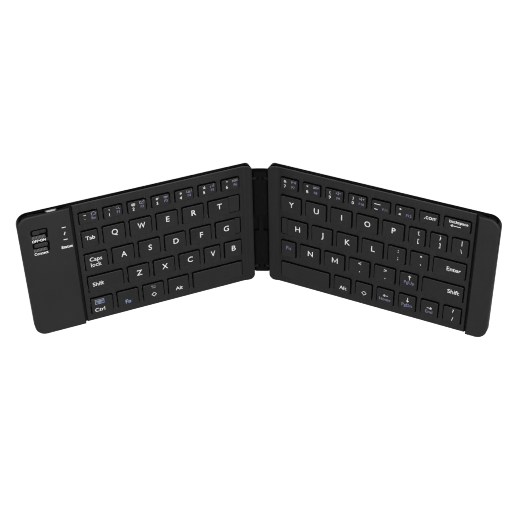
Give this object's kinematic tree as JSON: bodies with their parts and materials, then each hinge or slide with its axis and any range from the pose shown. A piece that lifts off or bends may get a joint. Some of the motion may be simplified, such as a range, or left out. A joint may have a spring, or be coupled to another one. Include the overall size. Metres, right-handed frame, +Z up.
{
  "type": "folding keyboard",
  "caption": "Two-part keyboard that folds shut like a book on a double hinge, with low island keys, raised end panels and a charging socket.",
  "frame": {"origin": "bottom centre of the standing, part-folded keyboard: midway between the two outer ends, midway in depth, on the surface that the front long edges stand on", "axes": "+X across both halves to the right as the keys are read, +Y away from the key side towards the hinge, +Z up along the hinge from the front long edge to the back long edge"},
  "size_m": [0.2992, 0.0701, 0.0938],
  "materials": {
    "tray_black": "gloss black moulded plastic",
    "deck_black": "fine matt black",
    "panel_black": "fine matt black",
    "key_black": "matt black caps with printed legends",
    "plate_steel": "plain sheet steel",
    "membrane_film": "clear polyester film",
    "dome_rubber": "grey silicone",
    "screw_steel": "dark plated steel",
    "foot_rubber": "black rubber",
    "board_green": "solder mask",
    "battery_foil": "foil pouch",
    "socket_metal": "plated steel shell",
    "light_white": "white translucent light guides",
    "control_grey": "dark grey controls",
    "band_rubber": "matt black rubber skin",
    "flex_film": "black polyimide film"
  },
  "bodies": {
    "left_half": {"bottom_cover_left": "tray_black", "key_frame_left": "deck_black", "end_cover_left": "panel_black", "support_plate_left": "plate_steel", "membrane_left": "membrane_film", "dome_sheet_left": "dome_rubber", "screws_left": "screw_steel", "rubber_feet_left": "foot_rubber", "circuit_board": "board_green", "battery": "battery_foil", "usb_socket": "socket_metal", "light_guides": "light_white"},
    "spine": {"hinge_band": "band_rubber", "hinge_pins": "screw_steel", "flex_cable": "flex_film"},
    "right_half": {"bottom_cover_right": "tray_black", "key_frame_right": "deck_black", "end_cover_right": "panel_black", "support_plate_right": "plate_steel", "membrane_right": "membrane_film", "dome_sheet_right": "dome_rubber", "screws_right": "screw_steel", "rubber_feet_right": "foot_rubber"},
    "key_q": {"key_q": "key_black"},
    "key_w": {"key_w": "key_black"},
    "key_e": {"key_e": "key_black"},
    "key_r": {"key_r": "key_black"},
    "key_t": {"key_t": "key_black"},
    "key_a": {"key_a": "key_black"},
    "key_s": {"key_s": "key_black"},
    "key_d": {"key_d": "key_black"},
    "key_f": {"key_f": "key_black"},
    "key_g": {"key_g": "key_black"},
    "key_z": {"key_z": "key_black"},
    "key_x": {"key_x": "key_black"},
    "key_c": {"key_c": "key_black"},
    "key_v": {"key_v": "key_black"},
    "key_b": {"key_b": "key_black"},
    "key_space_left": {"key_space_left": "key_black"},
    "number_keys_left": {"number_keys_left": "key_black"},
    "modifier_keys_left": {"modifier_keys_left": "key_black"},
    "bottom_keys_left": {"bottom_keys_left": "key_black"},
    "key_y": {"key_y": "key_black"},
    "key_u": {"key_u": "key_black"},
    "key_i": {"key_i": "key_black"},
    "key_o": {"key_o": "key_black"},
    "key_p": {"key_p": "key_black"},
    "key_h": {"key_h": "key_black"},
    "key_j": {"key_j": "key_black"},
    "key_k": {"key_k": "key_black"},
    "key_l": {"key_l": "key_black"},
    "key_n": {"key_n": "key_black"},
    "key_m": {"key_m": "key_black"},
    "key_space_right": {"key_space_right": "key_black"},
    "number_keys_right": {"number_keys_right": "key_black"},
    "edit_keys_right": {"edit_keys_right": "key_black"},
    "symbol_keys_right": {"symbol_keys_right": "key_black"},
    "bottom_keys_right": {"bottom_keys_right": "key_black"},
    "power_switch": {"power_switch": "control_grey"},
    "connect_button": {"connect_button": "control_grey"}
  },
  "joints": [
    {"name": "fold_left", "type": "hinge", "parent": "left_half", "child": "spine", "pos_m": [-0.00365, 0.03301, 0], "axis": [0, 0, -1], "range_deg": [-24, 66], "deforming": ["flex_cable"]},
    {"name": "fold_right", "type": "hinge", "parent": "spine", "child": "right_half", "pos_m": [0.00365, 0.03301, 0], "axis": [0, 0, -1], "range_deg": [-24, 66]},
    {"name": "press_q", "type": "slide", "parent": "left_half", "child": "key_q", "axis": [-0.4067, 0.9135, 0], "range_m": [0, 0.0012], "stiffness_N_per_m": 400, "deforming": ["dome_sheet_left"]},
    {"name": "press_w", "type": "slide", "parent": "left_half", "child": "key_w", "axis": [-0.4067, 0.9135, 0], "range_m": [0, 0.0012], "stiffness_N_per_m": 400},
    {"name": "press_e", "type": "slide", "parent": "left_half", "child": "key_e", "axis": [-0.4067, 0.9135, 0], "range_m": [0, 0.0012], "stiffness_N_per_m": 400},
    {"name": "press_r", "type": "slide", "parent": "left_half", "child": "key_r", "axis": [-0.4067, 0.9135, 0], "range_m": [0, 0.0012], "stiffness_N_per_m": 400},
    {"name": "press_t", "type": "slide", "parent": "left_half", "child": "key_t", "axis": [-0.4067, 0.9135, 0], "range_m": [0, 0.0012], "stiffness_N_per_m": 400},
    {"name": "press_a", "type": "slide", "parent": "left_half", "child": "key_a", "axis": [-0.4067, 0.9135, 0], "range_m": [0, 0.0012], "stiffness_N_per_m": 400},
    {"name": "press_s", "type": "slide", "parent": "left_half", "child": "key_s", "axis": [-0.4067, 0.9135, 0], "range_m": [0, 0.0012], "stiffness_N_per_m": 400},
    {"name": "press_d", "type": "slide", "parent": "left_half", "child": "key_d", "axis": [-0.4067, 0.9135, 0], "range_m": [0, 0.0012], "stiffness_N_per_m": 400},
    {"name": "press_f", "type": "slide", "parent": "left_half", "child": "key_f", "axis": [-0.4067, 0.9135, 0], "range_m": [0, 0.0012], "stiffness_N_per_m": 400},
    {"name": "press_g", "type": "slide", "parent": "left_half", "child": "key_g", "axis": [-0.4067, 0.9135, 0], "range_m": [0, 0.0012], "stiffness_N_per_m": 400},
    {"name": "press_z", "type": "slide", "parent": "left_half", "child": "key_z", "axis": [-0.4067, 0.9135, 0], "range_m": [0, 0.0012], "stiffness_N_per_m": 400},
    {"name": "press_x", "type": "slide", "parent": "left_half", "child": "key_x", "axis": [-0.4067, 0.9135, 0], "range_m": [0, 0.0012], "stiffness_N_per_m": 400},
    {"name": "press_c", "type": "slide", "parent": "left_half", "child": "key_c", "axis": [-0.4067, 0.9135, 0], "range_m": [0, 0.0012], "stiffness_N_per_m": 400},
    {"name": "press_v", "type": "slide", "parent": "left_half", "child": "key_v", "axis": [-0.4067, 0.9135, 0], "range_m": [0, 0.0012], "stiffness_N_per_m": 400},
    {"name": "press_b", "type": "slide", "parent": "left_half", "child": "key_b", "axis": [-0.4067, 0.9135, 0], "range_m": [0, 0.0012], "stiffness_N_per_m": 400},
    {"name": "press_space_left", "type": "slide", "parent": "left_half", "child": "key_space_left", "axis": [-0.4067, 0.9135, 0], "range_m": [0, 0.0012], "stiffness_N_per_m": 400},
    {"name": "press_number_keys_left", "type": "slide", "parent": "left_half", "child": "number_keys_left", "axis": [-0.4067, 0.9135, 0], "range_m": [0, 0.0012], "stiffness_N_per_m": 400},
    {"name": "press_modifier_keys_left", "type": "slide", "parent": "left_half", "child": "modifier_keys_left", "axis": [-0.4067, 0.9135, 0], "range_m": [0, 0.0012], "stiffness_N_per_m": 400},
    {"name": "press_bottom_keys_left", "type": "slide", "parent": "left_half", "child": "bottom_keys_left", "axis": [-0.4067, 0.9135, 0], "range_m": [0, 0.0012], "stiffness_N_per_m": 400},
    {"name": "press_y", "type": "slide", "parent": "right_half", "child": "key_y", "axis": [0.4067, 0.9135, 0], "range_m": [0, 0.0012], "stiffness_N_per_m": 400, "deforming": ["dome_sheet_right"]},
    {"name": "press_u", "type": "slide", "parent": "right_half", "child": "key_u", "axis": [0.4067, 0.9135, 0], "range_m": [0, 0.0012], "stiffness_N_per_m": 400},
    {"name": "press_i", "type": "slide", "parent": "right_half", "child": "key_i", "axis": [0.4067, 0.9135, 0], "range_m": [0, 0.0012], "stiffness_N_per_m": 400},
    {"name": "press_o", "type": "slide", "parent": "right_half", "child": "key_o", "axis": [0.4067, 0.9135, 0], "range_m": [0, 0.0012], "stiffness_N_per_m": 400},
    {"name": "press_p", "type": "slide", "parent": "right_half", "child": "key_p", "axis": [0.4067, 0.9135, 0], "range_m": [0, 0.0012], "stiffness_N_per_m": 400},
    {"name": "press_h", "type": "slide", "parent": "right_half", "child": "key_h", "axis": [0.4067, 0.9135, 0], "range_m": [0, 0.0012], "stiffness_N_per_m": 400},
    {"name": "press_j", "type": "slide", "parent": "right_half", "child": "key_j", "axis": [0.4067, 0.9135, 0], "range_m": [0, 0.0012], "stiffness_N_per_m": 400},
    {"name": "press_k", "type": "slide", "parent": "right_half", "child": "key_k", "axis": [0.4067, 0.9135, 0], "range_m": [0, 0.0012], "stiffness_N_per_m": 400},
    {"name": "press_l", "type": "slide", "parent": "right_half", "child": "key_l", "axis": [0.4067, 0.9135, 0], "range_m": [0, 0.0012], "stiffness_N_per_m": 400},
    {"name": "press_n", "type": "slide", "parent": "right_half", "child": "key_n", "axis": [0.4067, 0.9135, 0], "range_m": [0, 0.0012], "stiffness_N_per_m": 400},
    {"name": "press_m", "type": "slide", "parent": "right_half", "child": "key_m", "axis": [0.4067, 0.9135, 0], "range_m": [0, 0.0012], "stiffness_N_per_m": 400},
    {"name": "press_space_right", "type": "slide", "parent": "right_half", "child": "key_space_right", "axis": [0.4067, 0.9135, 0], "range_m": [0, 0.0012], "stiffness_N_per_m": 400},
    {"name": "press_number_keys_right", "type": "slide", "parent": "right_half", "child": "number_keys_right", "axis": [0.4067, 0.9135, 0], "range_m": [0, 0.0012], "stiffness_N_per_m": 400},
    {"name": "press_edit_keys_right", "type": "slide", "parent": "right_half", "child": "edit_keys_right", "axis": [0.4067, 0.9135, 0], "range_m": [0, 0.0012], "stiffness_N_per_m": 400},
    {"name": "press_symbol_keys_right", "type": "slide", "parent": "right_half", "child": "symbol_keys_right", "axis": [0.4067, 0.9135, 0], "range_m": [0, 0.0012], "stiffness_N_per_m": 400},
    {"name": "press_bottom_keys_right", "type": "slide", "parent": "right_half", "child": "bottom_keys_right", "axis": [0.4067, 0.9135, 0], "range_m": [0, 0.0012], "stiffness_N_per_m": 400},
    {"name": "slide_power_switch", "type": "slide", "parent": "left_half", "child": "power_switch", "axis": [0.9135, 0.4067, 0], "range_m": [0, 0.0042]},
    {"name": "press_connect_button", "type": "slide", "parent": "left_half", "child": "connect_button", "axis": [-0.4067, 0.9135, 0], "range_m": [0, 0.0005], "stiffness_N_per_m": 600}
  ],
  "couplings": [
    {"joint": "fold_right", "follows": "fold_left", "ratio": 1}
  ]
}
